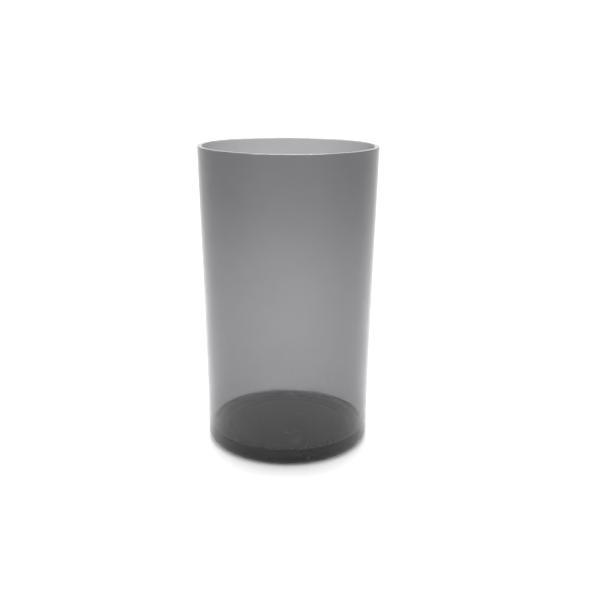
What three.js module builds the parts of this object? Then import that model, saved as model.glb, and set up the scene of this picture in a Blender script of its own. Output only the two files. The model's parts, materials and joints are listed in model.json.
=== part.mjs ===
// A smoked glass cylinder vase with a slight draft, a flat lip with softened edges and a heavy base.
// Millimetres, +Z up. The origin is the centre of the circle that the vase stands on.
//
// The glass is one continuous vessel. It is modelled as two bodies of revolution that meet face to
// face on a flat ring just above the inner fillet: the tall wall, and the cupped base below it.

import * as THREE from "three";

// Driving dimensions of the vessel
const HEIGHT = 250;
const MOUTH_DIAMETER = 146; // outside, at the top of the lip
const FOOT_DIAMETER = 138; // outside, where the line of the wall meets the table
const WALL = 4; // square to the wall
const LIP_EDGE_RADIUS = 0.7; // the lip is ground flat and its two edges are softened
const FLOOR_THICKNESS = 12.5; // from the table to the floor inside
const HEEL_RADIUS = 8; // outside, between the wall and the underside
const INNER_FILLET = 2.5; // inside, between the wall and the floor

// The shallow hollow under the base, which leaves a flat ring to stand on
const HOLLOW_RADIUS = 53;
const HOLLOW_DEPTH = 1.2;
const HOLLOW_EDGE = 3; // the width over which the hollow falls away from the ring

// The wall and the base meet on a flat ring at this height
const MEETING_HEIGHT = FLOOR_THICKNESS + INNER_FILLET + 0.5;

// Facets
const ROUND_STEPS = 72; // round the axis
const LIP_STEPS = 3; // in each of the lip's edges
const HEEL_STEPS = 6;
const FILLET_STEPS = 5;

// The draft: each wall surface leans outwards by this angle as it rises
const DRAFT = Math.atan((MOUTH_DIAMETER - FOOT_DIAMETER) / 2 / HEIGHT);

// Radius of the outside and of the inside of the wall at height z
const outsideAt = (z) => FOOT_DIAMETER / 2 + z * Math.tan(DRAFT);
const insideAt = (z) => outsideAt(z) - WALL / Math.cos(DRAFT);

// Points (radius, height) of an arc about a centre, from one angle to another, ends included
function arc(centreRadius, centreHeight, radius, from, to, steps) {
  const points = [];
  for (let i = 0; i <= steps; i++) {
    const angle = from + ((to - from) * i) / steps;
    points.push([
      centreRadius + radius * Math.cos(angle),
      centreHeight + radius * Math.sin(angle),
    ]);
  }
  return points;
}

// Each arc below is tangent to the surfaces beside it, whose outward normals the draft turns down
const DOWN = -Math.PI / 2;

// The lip's outer edge and inner edge, with the flat top between them
function lipArcs() {
  const height = HEIGHT - LIP_EDGE_RADIUS;
  const inset = LIP_EDGE_RADIUS / Math.cos(DRAFT);
  const [outer, inner] = [outsideAt(height) - inset, insideAt(height) + inset];
  const up = Math.PI / 2;
  return [
    ...arc(outer, height, LIP_EDGE_RADIUS, -DRAFT, up, LIP_STEPS),
    ...arc(inner, height, LIP_EDGE_RADIUS, up, Math.PI - DRAFT, LIP_STEPS),
  ];
}

function heelArc() {
  const centre = outsideAt(HEEL_RADIUS) - HEEL_RADIUS / Math.cos(DRAFT);
  return arc(centre, HEEL_RADIUS, HEEL_RADIUS, DOWN, -DRAFT, HEEL_STEPS);
}

function filletArc() {
  const height = FLOOR_THICKNESS + INNER_FILLET;
  const centre = insideAt(height) - INNER_FILLET / Math.cos(DRAFT);
  return arc(centre, height, INNER_FILLET, -DRAFT, DOWN, FILLET_STEPS);
}

// A solid of revolution about +Z from a profile of (radius, height) points
function revolved(profile) {
  const points = profile.map(([radius, height]) => new THREE.Vector2(radius, height));
  const geometry = new THREE.LatheGeometry(points, ROUND_STEPS);
  geometry.rotateX(Math.PI / 2); // the lathe turns about +Y
  return geometry;
}

// Neutral grey smoked glass; the base is the same glass, darker because it is thicker
function smokedGlass(colour, opacity) {
  return new THREE.MeshStandardMaterial({
    color: colour,
    roughness: 0.03,
    metalness: 0,
    transparent: true,
    opacity,
  });
}

// The tall wall: up the outside, over the lip and down the inside to the meeting ring
function cylinderWall() {
  const start = [outsideAt(MEETING_HEIGHT), MEETING_HEIGHT];
  const profile = [start, ...lipArcs(), [insideAt(MEETING_HEIGHT), MEETING_HEIGHT], start];
  const mesh = new THREE.Mesh(revolved(profile), smokedGlass(0x737375, 0.57));
  mesh.name = "cylinder_wall";
  return mesh;
}

// The cupped base: the hollow, the standing ring, the heel, the meeting ring, the fillet, the floor
function heavyBase() {
  const profile = [
    [0, HOLLOW_DEPTH],
    [HOLLOW_RADIUS - HOLLOW_EDGE, HOLLOW_DEPTH],
    [HOLLOW_RADIUS, 0],
    ...heelArc(),
    [outsideAt(MEETING_HEIGHT), MEETING_HEIGHT],
    [insideAt(MEETING_HEIGHT), MEETING_HEIGHT],
    ...filletArc(),
    [0, FLOOR_THICKNESS],
  ];
  const mesh = new THREE.Mesh(revolved(profile), smokedGlass(0x55545a, 0.85));
  mesh.name = "heavy_base";
  return mesh;
}

const vase = new THREE.Group();
vase.name = "glass_cylinder_vase";
vase.add(heavyBase(), cylinderWall());

export default vase;
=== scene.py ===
"""A smoked glass cylinder vase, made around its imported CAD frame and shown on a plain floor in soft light.

The vase is one continuous piece of glass, so one fine mesh stands for both CAD nodes. Metres, +Z up.
"""

import json
from math import atan, cos, pi, radians, sin

import bpy
from mathutils import Euler, Matrix, Vector, noise


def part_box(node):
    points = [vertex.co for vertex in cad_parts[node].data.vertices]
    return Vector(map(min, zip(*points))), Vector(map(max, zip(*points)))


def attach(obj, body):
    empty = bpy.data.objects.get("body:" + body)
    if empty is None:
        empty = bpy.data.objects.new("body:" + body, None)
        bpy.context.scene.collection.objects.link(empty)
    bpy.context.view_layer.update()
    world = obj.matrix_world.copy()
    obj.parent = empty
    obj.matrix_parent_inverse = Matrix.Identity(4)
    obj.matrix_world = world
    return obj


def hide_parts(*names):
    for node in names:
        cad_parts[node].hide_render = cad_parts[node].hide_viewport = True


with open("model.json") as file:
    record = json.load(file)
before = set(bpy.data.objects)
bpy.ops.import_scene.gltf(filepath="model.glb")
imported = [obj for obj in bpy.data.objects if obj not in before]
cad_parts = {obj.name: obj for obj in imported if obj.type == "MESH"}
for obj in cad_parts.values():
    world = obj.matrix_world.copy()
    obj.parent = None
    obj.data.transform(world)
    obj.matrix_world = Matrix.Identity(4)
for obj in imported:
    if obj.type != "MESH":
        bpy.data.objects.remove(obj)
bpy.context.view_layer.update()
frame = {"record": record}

# ---------------------------------------------------------------------------------------------------
# The vessel's sizes. The outline comes from the frame, and the rest are its own driving dimensions.

WALL_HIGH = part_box("cylinder_wall")[1]
BASE_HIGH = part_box("heavy_base")[1]
MOUNTS = {mount["name"]: mount for mount in frame["record"]["mounts"]}

HEIGHT = WALL_HIGH.z
FLOOR = MOUNTS["inside_floor"]["pos_m"][2]
WALL = 0.004  # square to the wall
LIP_EDGE_RADIUS = 0.0007
HEEL_RADIUS = 0.008
INNER_FILLET = 0.0025
HOLLOW_RADIUS = 0.053  # inside of the standing ring
HOLLOW_DEPTH = 0.0012
HOLLOW_EDGE = 0.003
MOULD_RING_RADIUS = 0.021  # a faint ridge that the mould leaves in the hollow
MOULD_RING_WIDTH = 0.0016
MOULD_RING_HEIGHT = 0.00008

SLOPE = (WALL_HIGH.x - BASE_HIGH.x) / (HEIGHT - LIP_EDGE_RADIUS - BASE_HIGH.z)
DRAFT = atan(SLOPE)
DOWN = -pi / 2

# How finely the surface is divided
ROUND_STEPS = 224
WALL_ROWS = 72
ARC_STEPS = 16
FLAT_ROWS = 10
LIP_ROWS = 3

# The faint waves of pressed glass: how far they stand, and their lengths round and up the wall
OUTER_WAVE = 0.00003
INNER_WAVE = 0.00008
WAVES_ACROSS = 1.6
WAVE_LENGTH_UP = 0.07
WAVE_SHIFT = 1e5  # sets the inner wall's waves apart from the outer wall's


def outside_at(z):
    """Radius of the outer surface of the wall at height z."""
    return BASE_HIGH.x + SLOPE * (z - BASE_HIGH.z)


def inside_at(z):
    """Radius of the inner surface of the wall at height z."""
    return outside_at(z) - WALL / cos(DRAFT)


def arc(centre_radius, centre_height, radius, start, end):
    """Points (radius, height) of an arc about a centre, ends included."""
    angles = [start + (end - start) * i / ARC_STEPS for i in range(ARC_STEPS + 1)]
    return [(centre_radius + radius * cos(a), centre_height + radius * sin(a)) for a in angles]


def between(start, end, rows):
    """Points strictly between two points of the outline, evenly spaced."""
    steps = [i / (rows + 1) for i in range(1, rows + 1)]
    return [(start[0] + (end[0] - start[0]) * t, start[1] + (end[1] - start[1]) * t) for t in steps]


def smooth(t):
    """Rises smoothly from 0 to 1 as t does."""
    t = min(max(t, 0.0), 1.0)
    return t * t * (3 - 2 * t)


def hollow_height(radius):
    """Height of the underside above the table inside the standing ring."""
    height = HOLLOW_DEPTH * smooth((HOLLOW_RADIUS - radius) / HOLLOW_EDGE)
    from_ring = abs(radius - MOULD_RING_RADIUS) / MOULD_RING_WIDTH
    return height - MOULD_RING_HEIGHT * (1 - smooth(from_ring))


def underside():
    """The underside from the axis out to the standing ring's inner edge, finer where it bends."""
    stops = [
        (0.0, FLAT_ROWS // 2),
        (MOULD_RING_RADIUS - MOULD_RING_WIDTH, ARC_STEPS),
        (MOULD_RING_RADIUS + MOULD_RING_WIDTH, FLAT_ROWS),
        (HOLLOW_RADIUS - HOLLOW_EDGE, ARC_STEPS),
        (HOLLOW_RADIUS, 0),
    ]
    radii = []
    for (start, rows), (end, _) in zip(stops, stops[1:]):
        radii += [start + (end - start) * i / rows for i in range(rows)]
    return [(r, hollow_height(r)) for r in radii + [HOLLOW_RADIUS]]


def lip_section():
    """The lip's softened outer edge, its flat top and its softened inner edge."""
    height = HEIGHT - LIP_EDGE_RADIUS
    inset = LIP_EDGE_RADIUS / cos(DRAFT)
    outer = arc(outside_at(height) - inset, height, LIP_EDGE_RADIUS, -DRAFT, pi / 2)
    inner = arc(inside_at(height) + inset, height, LIP_EDGE_RADIUS, pi / 2, pi - DRAFT)
    return outer + between(outer[-1], inner[0], LIP_ROWS) + inner


def inner_fillet():
    """The curve from the foot of the inner wall to the floor."""
    height = FLOOR + INNER_FILLET
    centre = inside_at(height) - INNER_FILLET / cos(DRAFT)
    return arc(centre, height, INNER_FILLET, -DRAFT, DOWN)


def outline():
    """The closed half section, from the axis below to the axis above, with how much each point waves."""
    heel = arc(outside_at(HEEL_RADIUS) - HEEL_RADIUS / cos(DRAFT), HEEL_RADIUS, HEEL_RADIUS, DOWN, -DRAFT)
    lip = lip_section()
    below = underside()
    outer = between(heel[-1], lip[0], WALL_ROWS)
    fillet = inner_fillet()
    inner = between(lip[-1], fillet[0], WALL_ROWS)
    ring = between(below[-1], heel[0], FLAT_ROWS // 2)
    floor = between(fillet[-1], (0.0, FLOOR), FLAT_ROWS)
    points = [(p, 0.0) for p in below + ring + heel]
    points += [(p, OUTER_WAVE) for p in outer]
    points += [(p, 0.0) for p in lip]
    points += [(p, INNER_WAVE) for p in inner]
    points += [(p, 0.0) for p in fillet + floor + [(0.0, FLOOR)]]
    return points


def wave(angle, z, size):
    """How far a point of the wall stands out of true. It dies away towards the lip and the heel."""
    if size == 0.0:
        return 0.0
    place = (WAVES_ACROSS * cos(angle), WAVES_ACROSS * sin(angle), z / WAVE_LENGTH_UP)
    strength = smooth((z - BASE_HIGH.z) / WAVE_LENGTH_UP) * smooth((HEIGHT - z) / WAVE_LENGTH_UP)
    return size * strength * noise.noise(Vector(place) + Vector((size, 0, 0)) * WAVE_SHIFT)


def vessel():
    """The whole vase as one closed surface of revolution with faint waves in its wall."""
    points = outline()
    vertices, rings = [], []
    for (radius, height), size in points:
        if radius == 0.0:
            rings.append([len(vertices)] * ROUND_STEPS)
            vertices.append((0.0, 0.0, height))
            continue
        ring = []
        for i in range(ROUND_STEPS):
            angle = 2 * pi * i / ROUND_STEPS
            r = radius + wave(angle, height, size)
            ring.append(len(vertices))
            vertices.append((r * cos(angle), r * sin(angle), height))
        rings.append(ring)
    faces = []
    for low, high in zip(rings, rings[1:]):
        for i in range(ROUND_STEPS):
            j = (i + 1) % ROUND_STEPS
            corners = [low[i], low[j], high[j], high[i]]
            faces.append(list(dict.fromkeys(corners)))  # a triangle where a ring is one point
    mesh = bpy.data.meshes.new("glass_vessel")
    mesh.from_pydata(vertices, [], faces)
    mesh.validate()
    mesh.shade_smooth()
    return new_object("glass_vessel", mesh)


def new_object(name, data):
    made = bpy.data.objects.new(name, data)
    bpy.context.scene.collection.objects.link(made)
    return made


# ---------------------------------------------------------------------------------------------------
# Materials

GLASS_IOR = 1.5
POLISH = 0.0  # roughness of clean glass
SMEAR = 0.035  # roughness that the smears add
SMEAR_SCALE = 14.0
SMEAR_RANGE = (0.55, 0.8)
SCUFF = 0.45  # roughness of the ring that it stands on
SCUFF_HEIGHTS = (0.0004, 0.0022)
SCUFF_SCALE = 700.0
SCUFF_RANGE = (0.35, 0.65)
RIPPLE_SCALE = 26.0  # the surface's faint unevenness
RIPPLE_DEPTH = 0.00002
GRAIN_DETAIL = 2.0
ABSORPTION = (246.0, 247.5, 240.0)  # per metre, in red, green and blue


def material(name):
    """A new empty material, with its nodes and links."""
    made = bpy.data.materials.new(name)
    made.use_nodes = True
    made.node_tree.nodes.clear()
    return made, made.node_tree.nodes, made.node_tree.links


def fade(nodes, links, value, span, low, high):
    """A smooth change from low to high as a value crosses a span."""
    made = nodes.new("ShaderNodeMapRange")
    made.interpolation_type = "SMOOTHSTEP"
    made.inputs["From Min"].default_value = span[0]
    made.inputs["From Max"].default_value = span[1]
    made.inputs["To Min"].default_value = low
    made.inputs["To Max"].default_value = high
    links.new(value, made.inputs["Value"])
    return made.outputs["Result"]


def calculated(nodes, links, operation, first, second):
    """The result of a sum on two values."""
    made = nodes.new("ShaderNodeMath")
    made.operation = operation
    links.new(first, made.inputs[0])
    links.new(second, made.inputs[1])
    return made.outputs["Value"]


def smoked_glass():
    """Smoke grey glass, with faint smears and ripples, and scuffed on the ring that it stands on."""
    made, nodes, links = material("smoked_glass")
    out = nodes.new("ShaderNodeOutputMaterial")
    shader = nodes.new("ShaderNodeBsdfPrincipled")
    shader.inputs["Base Color"].default_value = (1, 1, 1, 1)
    shader.inputs["Transmission Weight"].default_value = 1
    shader.inputs["IOR"].default_value = GLASS_IOR
    links.new(shader.outputs["BSDF"], out.inputs["Surface"])

    place = nodes.new("ShaderNodeTexCoord").outputs["Object"]
    height = nodes.new("ShaderNodeSeparateXYZ")
    links.new(place, height.inputs["Vector"])
    smears = fade(nodes, links, grain(nodes, links, place, SMEAR_SCALE), SMEAR_RANGE, POLISH, SMEAR)
    scratches = fade(nodes, links, grain(nodes, links, place, SCUFF_SCALE), SCUFF_RANGE, 0, SCUFF)
    foot = fade(nodes, links, height.outputs["Z"], SCUFF_HEIGHTS, 1, 0)
    scuffs = calculated(nodes, links, "MULTIPLY", scratches, foot)
    links.new(calculated(nodes, links, "ADD", smears, scuffs), shader.inputs["Roughness"])

    bump = nodes.new("ShaderNodeBump")
    bump.inputs["Strength"].default_value = 1.0
    bump.inputs["Distance"].default_value = RIPPLE_DEPTH
    links.new(grain(nodes, links, place, RIPPLE_SCALE), bump.inputs["Height"])
    links.new(bump.outputs["Normal"], shader.inputs["Normal"])

    depth = nodes.new("ShaderNodeVolumeAbsorption")
    density = max(ABSORPTION)
    depth.inputs["Density"].default_value = density
    depth.inputs["Color"].default_value = (*[1 - a / density for a in ABSORPTION], 1)
    links.new(depth.outputs["Volume"], out.inputs["Volume"])
    return made


def grain(nodes, links, vector, scale):
    """Noise from 0 to 1 through the object."""
    made = nodes.new("ShaderNodeTexNoise")
    made.inputs["Scale"].default_value = scale
    made.inputs["Detail"].default_value = GRAIN_DETAIL
    links.new(vector, made.inputs["Vector"])
    return made.outputs["Fac"]


# ---------------------------------------------------------------------------------------------------
# The studio: a plain matt floor, an even white surround and one soft light overhead, all neutral.

FLOOR_DROP = 0.0002
FLOOR_SPAN = 8.0
FLOOR_PAINT = (0.94, 0.94, 0.94)
SURROUND = 1.27
LIGHT_PLACE = (0, 0.2, 0.9)
LIGHT_SIZE = 0.5
LIGHT_LEVEL = 12.0  # brightness of its face, on the same scale as the surround


def studio_floor():
    """A plain matt floor, just below the vase so that the two surfaces don't coincide."""
    s = FLOOR_SPAN / 2
    z = -FLOOR_DROP
    mesh = bpy.data.meshes.new("studio_floor")
    mesh.from_pydata([(-s, -s, z), (s, -s, z), (s, s, z), (-s, s, z)], [], [range(4)])
    made = new_object("studio_floor", mesh)
    paint, nodes, links = material("pale_floor")
    out = nodes.new("ShaderNodeOutputMaterial")
    shader = nodes.new("ShaderNodeBsdfPrincipled")
    shader.inputs["Base Color"].default_value = (*FLOOR_PAINT, 1)
    shader.inputs["Roughness"].default_value = 1.0
    shader.inputs["Specular IOR Level"].default_value = 0.0
    links.new(shader.outputs["BSDF"], out.inputs["Surface"])
    mesh.materials.append(paint)


def surround():
    """Even white light from all round."""
    world = bpy.data.worlds.new("white_surround")
    world.use_nodes = True
    background = world.node_tree.nodes["Background"]
    background.inputs["Color"].default_value = (1, 1, 1, 1)
    background.inputs["Strength"].default_value = SURROUND
    bpy.context.scene.world = world


def soft_light():
    """A square soft light that faces straight down."""
    data = bpy.data.lights.new("soft_light", "AREA")
    data.shape = "SQUARE"
    data.size = LIGHT_SIZE
    data.energy = LIGHT_LEVEL * pi * LIGHT_SIZE**2
    new_object("soft_light", data).location = LIGHT_PLACE


# ---------------------------------------------------------------------------------------------------
# The camera and the render

EYE = Vector((0, -0.654, 0.3105))
PITCH = radians(16.2)
YAW = 0.0155
ROLL = 0.0071
LENS = 48.2
SENSOR_WIDTH = 36
CLIP_START = 0.01

MOST_BOUNCES = 24
GLOSSY_BOUNCES = 12
DIFFUSE_BOUNCES = 4


def camera():
    data = bpy.data.cameras.new("camera")
    data.lens = LENS
    data.sensor_width = SENSOR_WIDTH
    data.clip_start = CLIP_START
    made = new_object("camera", data)
    turn = Euler((pi / 2 - PITCH, 0, -YAW)).to_matrix() @ Matrix.Rotation(ROLL, 3, "Z")
    made.matrix_world = Matrix.Translation(EYE) @ turn.to_4x4()
    bpy.context.scene.camera = made


def render_settings():
    scene = bpy.context.scene
    scene.view_settings.view_transform = "Standard"
    scene.view_settings.look = "None"
    scene.cycles.use_denoising = True
    scene.cycles.max_bounces = MOST_BOUNCES
    scene.cycles.transmission_bounces = MOST_BOUNCES
    scene.cycles.glossy_bounces = GLOSSY_BOUNCES
    scene.cycles.diffuse_bounces = DIFFUSE_BOUNCES
    scene.cycles.caustics_reflective = True
    scene.cycles.caustics_refractive = True


camera()
render_settings()
surround()
studio_floor()
soft_light()
glass = vessel()
glass.data.materials.append(smoked_glass())
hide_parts("cylinder_wall", "heavy_base")
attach(glass, "root")
